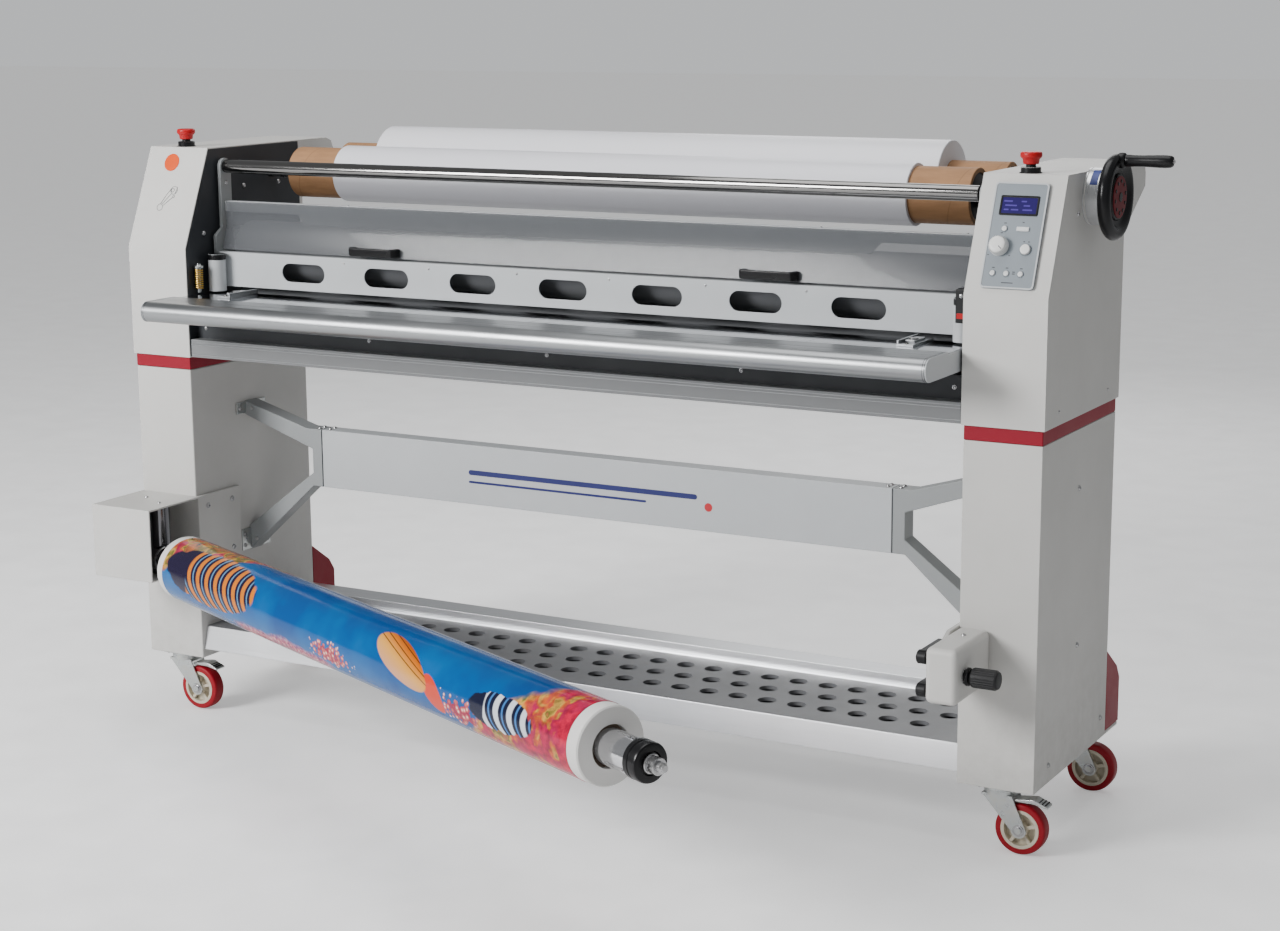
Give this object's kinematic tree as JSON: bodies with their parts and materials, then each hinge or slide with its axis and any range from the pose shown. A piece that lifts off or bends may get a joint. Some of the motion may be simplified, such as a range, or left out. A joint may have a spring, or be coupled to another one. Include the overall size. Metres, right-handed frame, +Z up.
{
  "type": "cold roll laminator",
  "caption": "Free-standing wide-format cold roll laminator with a feed table, film supply rolls, a handwheel that lifts the top roller, and a print roll on a swing-out mandrel.",
  "frame": {"origin": "centre of the whole object's footprint, with the mandrel swung out as drawn, on the floor", "axes": "+X along the rollers towards the operator's right, +Y from the operator to the back of the machine, +Z up"},
  "size_m": [2.288, 1.4262, 1.309],
  "materials": {
    "body_paint": "light warm grey powder coat",
    "red_paint": "crimson powder coat",
    "dark_paint": "charcoal powder coat",
    "grey_paint": "mid grey powder coat",
    "pale_paint": "pale grey powder coat",
    "table_aluminium": "silver anodised extrusion",
    "chrome": "polished",
    "mandrel_tube": "polished",
    "zinc_plate": "zinc plated",
    "roller_rubber": "ground silicone rubber",
    "black_plastic": "glossy black moulding",
    "white_film": "wound film with a satin sheen",
    "printed_film": "glossy laminated print",
    "clear_sheet": "clear grey polycarbonate",
    "deck_paint": "dark grey metallic coat",
    "estop_red": "glossy red moulding",
    "key_plastic": "silvery white moulding",
    "panel_overlay": "blue grey printed overlay",
    "caster_red": "red polyurethane tread on a cream rim"
  },
  "bodies": {
    "frame": {"leg_right": "body_paint", "leg_left": "body_paint", "band_right": "red_paint", "band_left": "red_paint", "head_cover_right": "body_paint", "head_cover_left": "body_paint", "side_plate_right": "dark_paint", "side_plate_left": "dark_paint", "rear_foot_cover_right": "red_paint", "rear_foot_cover_left": "red_paint", "cross_channel": "grey_paint", "stretcher_beam": "pale_paint", "beam_bracket_right": "grey_paint", "beam_bracket_left": "grey_paint", "shelf_front_rail": "table_aluminium", "shelf_rear_rail": "table_aluminium", "shelf_deck": "deck_paint", "drive_motor": "black_plastic", "cover_arm_right": "grey_paint", "cover_arm_left": "grey_paint", "cover_bar": "grey_paint", "slotted_guard": "pale_paint", "feed_table": "table_aluminium", "control_panel": "panel_overlay", "mandrel_housing": "body_paint", "mandrel_receiver": "body_paint"},
    "caster_front_right": {"caster_fork_front_right": "zinc_plate"},
    "wheel_front_right": {"caster_wheel_front_right": "caster_red"},
    "pedal_front_right": {"brake_pedal_front_right": "zinc_plate"},
    "caster_front_left": {"caster_fork_front_left": "zinc_plate"},
    "wheel_front_left": {"caster_wheel_front_left": "caster_red"},
    "pedal_front_left": {"brake_pedal_front_left": "zinc_plate"},
    "caster_rear_right": {"caster_fork_rear_right": "zinc_plate"},
    "wheel_rear_right": {"caster_wheel_rear_right": "caster_red"},
    "caster_rear_left": {"caster_fork_rear_left": "zinc_plate"},
    "wheel_rear_left": {"caster_wheel_rear_left": "caster_red"},
    "roller_carriage": {"roller_block_right": "zinc_plate", "roller_block_left": "zinc_plate"},
    "top_roller": {"top_nip_roller": "roller_rubber"},
    "bottom_roller": {"bottom_nip_roller": "roller_rubber"},
    "pinion": {"motor_pinion": "zinc_plate"},
    "handwheel": {"handwheel": "black_plastic"},
    "crank_grip": {"crank_grip": "black_plastic"},
    "idler": {"idler_bar": "chrome"},
    "front_roll": {"front_supply_roll": "white_film"},
    "rear_roll": {"rear_supply_roll": "white_film"},
    "clear_guard": {"clear_guard": "clear_sheet"},
    "estop_right": {"estop_button_right": "estop_red"},
    "estop_left": {"estop_button_left": "estop_red"},
    "run_key": {"run_key": "key_plastic"},
    "stop_key": {"stop_key": "key_plastic"},
    "mode_key": {"mode_key": "key_plastic"},
    "menu_key": {"menu_key": "key_plastic"},
    "jog_button": {"jog_button": "key_plastic"},
    "rocker_key": {"rocker_key": "key_plastic"},
    "speed_knob": {"speed_knob": "key_plastic"},
    "swing_arm": {"swing_arm": "dark_paint"},
    "mandrel": {"mandrel_shaft": "mandrel_tube", "print_roll": "printed_film"},
    "receiver_knob": {"receiver_knob": "black_plastic"}
  },
  "joints": [
    {"name": "swivel_front_right", "type": "hinge", "parent": "frame", "child": "caster_front_right", "pos_m": [0.9075, 0.17705, 0.1], "axis": [0, 0, 1], "continuous": true},
    {"name": "roll_front_right", "type": "hinge", "parent": "caster_front_right", "child": "wheel_front_right", "pos_m": [0.9525, 0.17705, 0.05], "axis": [0, 1, 0], "continuous": true},
    {"name": "brake_front_right", "type": "hinge", "parent": "caster_front_right", "child": "pedal_front_right", "pos_m": [0.9395, 0.17705, 0.1055], "axis": [0, 1, 0], "range_deg": [0, 8]},
    {"name": "swivel_front_left", "type": "hinge", "parent": "frame", "child": "caster_front_left", "pos_m": [-1.0635, 0.17705, 0.1], "axis": [0, 0, 1], "continuous": true},
    {"name": "roll_front_left", "type": "hinge", "parent": "caster_front_left", "child": "wheel_front_left", "pos_m": [-1.0185, 0.17705, 0.05], "axis": [0, 1, 0], "continuous": true},
    {"name": "brake_front_left", "type": "hinge", "parent": "caster_front_left", "child": "pedal_front_left", "pos_m": [-1.0315, 0.17705, 0.1055], "axis": [0, 1, 0], "range_deg": [0, 8]},
    {"name": "swivel_rear_right", "type": "hinge", "parent": "frame", "child": "caster_rear_right", "pos_m": [0.9075, 0.58505, 0.1], "axis": [0, 0, 1], "continuous": true},
    {"name": "roll_rear_right", "type": "hinge", "parent": "caster_rear_right", "child": "wheel_rear_right", "pos_m": [0.9525, 0.58505, 0.05], "axis": [0, 1, 0], "continuous": true},
    {"name": "swivel_rear_left", "type": "hinge", "parent": "frame", "child": "caster_rear_left", "pos_m": [-1.0635, 0.58505, 0.1], "axis": [0, 0, 1], "continuous": true},
    {"name": "roll_rear_left", "type": "hinge", "parent": "caster_rear_left", "child": "wheel_rear_left", "pos_m": [-1.0185, 0.58505, 0.05], "axis": [0, 1, 0], "continuous": true},
    {"name": "handwheel_turn", "type": "hinge", "parent": "frame", "child": "handwheel", "pos_m": [1.023, 0.35905, 1.223], "axis": [1, 0, 0], "range_deg": [0, 1440]},
    {"name": "crank_grip_spin", "type": "hinge", "parent": "handwheel", "child": "crank_grip", "pos_m": [1.048, 0.35905, 1.29], "axis": [1, 0, 0], "continuous": true},
    {"name": "top_roller_lift", "type": "slide", "parent": "frame", "child": "roller_carriage", "axis": [0, 0, 1], "range_m": [0, 0.028]},
    {"name": "top_roller_spin", "type": "hinge", "parent": "roller_carriage", "child": "top_roller", "pos_m": [-0.078, 0.32705, 1.0403], "axis": [1, 0, 0], "continuous": true},
    {"name": "bottom_roller_spin", "type": "hinge", "parent": "frame", "child": "bottom_roller", "pos_m": [-0.078, 0.32705, 0.9097], "axis": [1, 0, 0], "continuous": true},
    {"name": "motor_pinion_spin", "type": "hinge", "parent": "frame", "child": "pinion", "pos_m": [0.862, 0.40598, 0.93843], "axis": [1, 0, 0], "continuous": true},
    {"name": "idler_spin", "type": "hinge", "parent": "frame", "child": "idler", "pos_m": [-0.078, 0.27005, 1.228], "axis": [1, 0, 0], "continuous": true},
    {"name": "front_roll_spin", "type": "hinge", "parent": "frame", "child": "front_roll", "pos_m": [-0.078, 0.45005, 1.206], "axis": [1, 0, 0], "continuous": true},
    {"name": "rear_roll_spin", "type": "hinge", "parent": "frame", "child": "rear_roll", "pos_m": [-0.078, 0.62905, 1.218], "axis": [1, 0, 0], "continuous": true},
    {"name": "clear_guard_lift", "type": "hinge", "parent": "frame", "child": "clear_guard", "pos_m": [-0.078, 0.25905, 1.15], "axis": [-1, 0, 0], "range_deg": [0, 80]},
    {"name": "estop_press_right", "type": "slide", "parent": "frame", "child": "estop_right", "axis": [0, 0, -1], "range_m": [0, 0.004], "stiffness_N_per_m": 900},
    {"name": "estop_press_left", "type": "slide", "parent": "frame", "child": "estop_left", "axis": [0, 0, -1], "range_m": [0, 0.004], "stiffness_N_per_m": 900},
    {"name": "run_key_press", "type": "slide", "parent": "frame", "child": "run_key", "axis": [0, 0.9218, -0.3877], "range_m": [0, 0.0015], "stiffness_N_per_m": 500},
    {"name": "stop_key_press", "type": "slide", "parent": "frame", "child": "stop_key", "axis": [0, 0.9218, -0.3877], "range_m": [0, 0.0015], "stiffness_N_per_m": 500},
    {"name": "mode_key_press", "type": "slide", "parent": "frame", "child": "mode_key", "axis": [0, 0.9218, -0.3877], "range_m": [0, 0.0015], "stiffness_N_per_m": 500},
    {"name": "menu_key_press", "type": "slide", "parent": "frame", "child": "menu_key", "axis": [0, 0.9218, -0.3877], "range_m": [0, 0.0015], "stiffness_N_per_m": 500},
    {"name": "jog_button_press", "type": "slide", "parent": "frame", "child": "jog_button", "axis": [0, 0.9218, -0.3877], "range_m": [0, 0.0015], "stiffness_N_per_m": 500},
    {"name": "rocker_key_rock", "type": "hinge", "parent": "frame", "child": "rocker_key", "pos_m": [0.9215, 0.18501, 1.1742], "axis": [0, 0.3877, 0.9218], "range_deg": [-4, 4], "stiffness_Nm_per_rad": 0.05},
    {"name": "speed_knob_turn", "type": "hinge", "parent": "frame", "child": "speed_knob", "pos_m": [0.8825, 0.17183, 1.14286], "axis": [0, -0.9218, 0.3877], "range_deg": [0, 270]},
    {"name": "mandrel_swing", "type": "hinge", "parent": "frame", "child": "swing_arm", "pos_m": [-1.013, 0.05105, 0.38], "axis": [0, 0, 1], "range_deg": [-12, 24]},
    {"name": "mandrel_spin", "type": "hinge", "parent": "swing_arm", "child": "mandrel", "pos_m": [-1.013, 0.05105, 0.38], "axis": [0.9135, -0.4067, 0], "continuous": true},
    {"name": "receiver_knob_turn", "type": "hinge", "parent": "frame", "child": "receiver_knob", "pos_m": [0.901, 0.01505, 0.38], "axis": [1, 0, 0], "range_deg": [0, 360]}
  ],
  "couplings": [
    {"joint": "handwheel_turn", "follows": "top_roller_lift", "rad_per_m": 897.6},
    {"joint": "motor_pinion_spin", "follows": "bottom_roller_spin", "ratio": -2.5}
  ]
}
